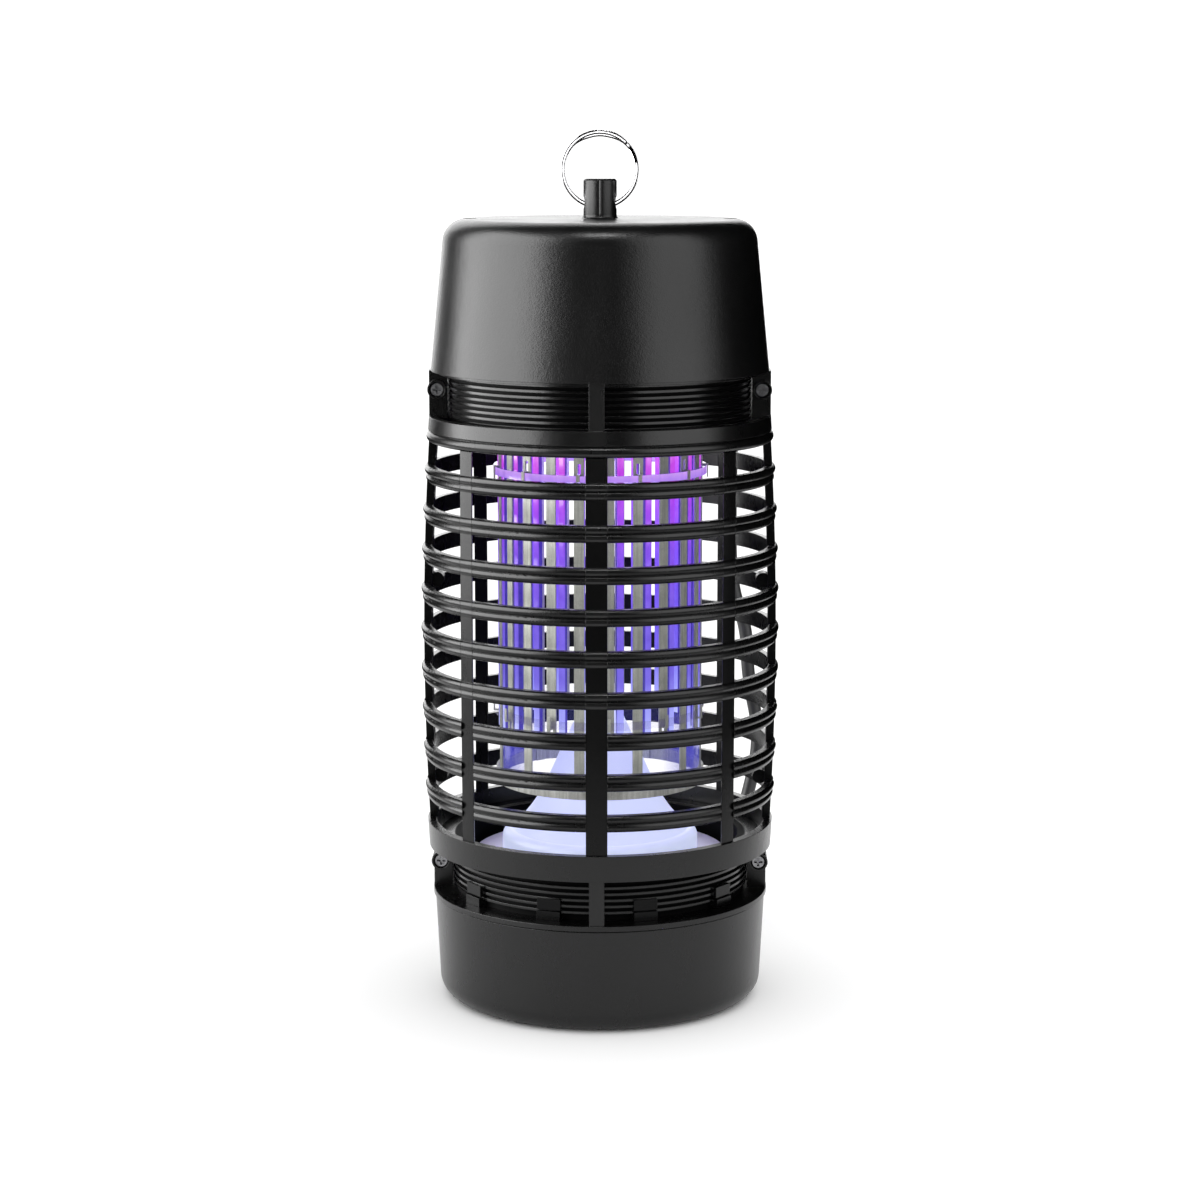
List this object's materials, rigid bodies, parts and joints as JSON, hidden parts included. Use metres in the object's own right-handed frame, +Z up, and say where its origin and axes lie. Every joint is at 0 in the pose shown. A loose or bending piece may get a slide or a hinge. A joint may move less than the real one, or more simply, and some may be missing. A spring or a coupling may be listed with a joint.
{
  "type": "electric bug zapper",
  "caption": "Barrel-shaped slotted cage with a lamp and strip grid inside, a domed cap with a hanging ring, a pull-off tray and a coiled mains cord.",
  "frame": {"origin": "middle of the flat face that the tray stands on", "axes": "+Z up along the cage's axis to the hanging ring, -Y to the front, where the grille's screw heads face"},
  "size_m": [0.1198, 0.2383, 0.2899],
  "materials": {
    "black_plastic": "satin, fine moulded texture",
    "steel_screws": "plated",
    "chrome": "polished",
    "clear_plastic": "clear moulded plastic",
    "galvanised": "galvanised, grainy",
    "frosted_plastic": "frosted, translucent",
    "white_plastic": "satin",
    "green_board": "solder mask",
    "led_package": "moulded",
    "component": "sleeved",
    "terminal": "moulded",
    "lead_sheath": "extruded",
    "cord_sheath": "soft PVC",
    "plug_metal": "nickel plated"
  },
  "bodies": {
    "housing": {"top_cap": "black_plastic", "front_upper_band": "black_plastic", "rear_upper_band": "black_plastic", "front_lower_band": "black_plastic", "rear_lower_band": "black_plastic", "front_slot_bars": "black_plastic", "rear_slot_bars": "black_plastic", "front_posts": "black_plastic", "rear_posts": "black_plastic", "upper_drum": "black_plastic", "lower_collar": "black_plastic", "reflector_spider": "black_plastic", "grille_screws": "steel_screws", "cap_screws": "steel_screws", "led_board_screws": "steel_screws", "driver_board_screws": "steel_screws", "lamp_lens": "clear_plastic", "upper_insulator": "clear_plastic", "lower_insulator": "clear_plastic", "insulator_skirt": "clear_plastic", "insulator_rods": "clear_plastic", "lower_strips": "galvanised", "upper_strips": "galvanised", "lower_grid_ring": "galvanised", "upper_grid_ring": "galvanised", "reflector": "frosted_plastic", "reflector_base": "white_plastic", "led_board": "green_board", "driver_board": "green_board", "uv_leds": "led_package", "transformer": "component", "driver_capacitors": "component", "driver_diodes": "component", "mains_terminal": "terminal", "mains_leads": "lead_sheath", "grid_leads": "lead_sheath", "strain_relief": "cord_sheath", "mains_cord": "cord_sheath", "cord_tail": "cord_sheath", "cord_coil": "cord_sheath", "plug_body": "cord_sheath", "plug_pins": "plug_metal"},
    "ring": {"hanging_ring": "chrome"},
    "tray": {"collecting_tray": "black_plastic"}
  },
  "joints": [
    {"name": "ring_swing", "type": "hinge", "parent": "housing", "child": "ring", "pos_m": [0, 0, 0.2662], "axis": [1, 0, 0], "range_deg": [-96, 96]},
    {"name": "tray_pull", "type": "slide", "parent": "housing", "child": "tray", "axis": [0, 0, -1], "range_m": [0, 0.05]}
  ]
}
